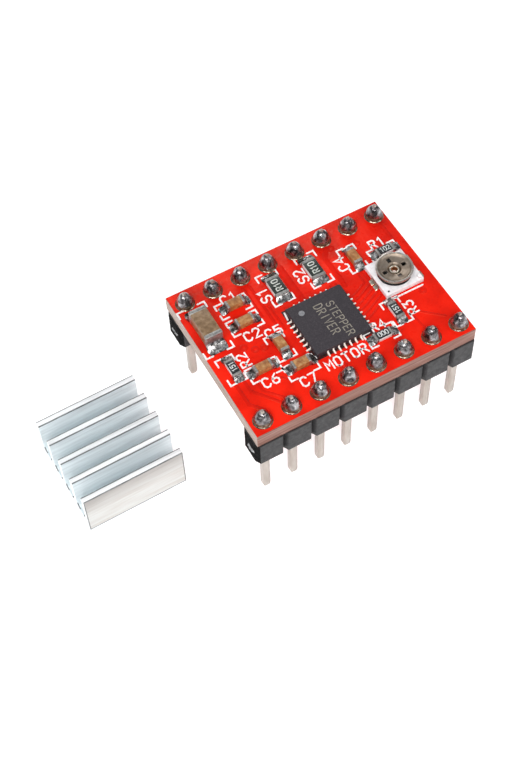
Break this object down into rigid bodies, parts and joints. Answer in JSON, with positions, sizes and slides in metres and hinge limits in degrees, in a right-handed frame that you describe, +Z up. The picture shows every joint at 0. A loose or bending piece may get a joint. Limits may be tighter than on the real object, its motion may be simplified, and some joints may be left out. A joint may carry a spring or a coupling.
{
  "type": "stepper driver module",
  "caption": "Small stepper driver board on two pin headers, with a chip, a turning trimmer and a loose finned heat sink.",
  "frame": {"origin": "centre of the whole footprint, board and heat sink together, on the surface that the pin tips and the heat sink stand on; the middle of the pin rows is 6.5 mm along +X", "axes": "+X along the header rows, away from the heat sink; +Y across the board towards the back row; +Z up out of the component side"},
  "size_m": [0.0338, 0.0152, 0.0114],
  "materials": {
    "solder_mask": "gloss red solder mask on glass-fibre laminate",
    "header_plastic": "matte dark grey moulding",
    "tinned_pin": "satin tin plate on brass",
    "solder": "gloss solder with dark flux",
    "mould_compound": "matte black moulding",
    "copper_pad": "satin tinned copper",
    "silicon": "polished silicon",
    "capacitor_ceramic": "satin tan ceramic with tinned end caps",
    "big_capacitor_ceramic": "satin grey-brown ceramic with tinned end caps",
    "resistor_ceramic": "gloss black glaze with tinned end caps",
    "sense_resistor_ceramic": "gloss green-black glaze with tinned end caps",
    "trimmer_ceramic": "matte white ceramic",
    "trimmer_terminal_metal": "satin tinned brass",
    "trimmer_rotor_steel": "gloss plated steel",
    "trimmer_brass": "gloss brass",
    "heat_sink_aluminium": "satin bare extrusion",
    "thermal_tape": "matte tape"
  },
  "bodies": {
    "driver_board": {"circuit_board": "solder_mask", "header_strip_front": "header_plastic", "header_strip_back": "header_plastic", "header_pin_front_1": "tinned_pin", "header_pin_front_2": "tinned_pin", "header_pin_front_3": "tinned_pin", "header_pin_front_4": "tinned_pin", "header_pin_front_5": "tinned_pin", "header_pin_front_6": "tinned_pin", "header_pin_front_7": "tinned_pin", "header_pin_front_8": "tinned_pin", "header_pin_back_1": "tinned_pin", "header_pin_back_2": "tinned_pin", "header_pin_back_3": "tinned_pin", "header_pin_back_4": "tinned_pin", "header_pin_back_5": "tinned_pin", "header_pin_back_6": "tinned_pin", "header_pin_back_7": "tinned_pin", "header_pin_back_8": "tinned_pin", "solder_joint_front_1": "solder", "solder_joint_front_2": "solder", "solder_joint_front_3": "solder", "solder_joint_front_4": "solder", "solder_joint_front_5": "solder", "solder_joint_front_6": "solder", "solder_joint_front_7": "solder", "solder_joint_front_8": "solder", "solder_joint_back_1": "solder", "solder_joint_back_2": "solder", "solder_joint_back_3": "solder", "solder_joint_back_4": "solder", "solder_joint_back_5": "solder", "solder_joint_back_6": "solder", "solder_joint_back_7": "solder", "solder_joint_back_8": "solder", "chip_body": "mould_compound", "chip_thermal_pad": "copper_pad", "chip_die": "silicon", "capacitor_c1": "capacitor_ceramic", "capacitor_c2": "capacitor_ceramic", "capacitor_c4": "capacitor_ceramic", "capacitor_c5": "capacitor_ceramic", "capacitor_c6": "capacitor_ceramic", "capacitor_c7": "capacitor_ceramic", "capacitor_c3": "big_capacitor_ceramic", "resistor_r1": "resistor_ceramic", "resistor_r2": "resistor_ceramic", "resistor_r3": "resistor_ceramic", "resistor_r4": "resistor_ceramic", "sense_resistor_s1": "sense_resistor_ceramic", "sense_resistor_s2": "sense_resistor_ceramic", "trimmer_base": "trimmer_ceramic", "trimmer_terminal_wiper": "trimmer_terminal_metal", "trimmer_terminal_front": "trimmer_terminal_metal", "trimmer_terminal_back": "trimmer_terminal_metal", "trimmer_eyelet": "trimmer_brass"},
    "trimmer_dial": {"trimmer_rotor": "trimmer_rotor_steel", "trimmer_wiper": "trimmer_brass"},
    "heat_sink_body": {"heat_sink": "heat_sink_aluminium", "thermal_tape": "thermal_tape"}
  },
  "joints": [
    {"name": "trimmer_turn", "type": "hinge", "parent": "driver_board", "child": "trimmer_dial", "pos_m": [0.0135, 0.00022, 0.01104], "axis": [0, 0, 1], "range_deg": [-130, 130]},
    {"name": "heat_sink_lift", "type": "slide", "parent": "driver_board", "child": "heat_sink_body", "axis": [0, 0, 1], "range_m": [0, 0.02]}
  ]
}
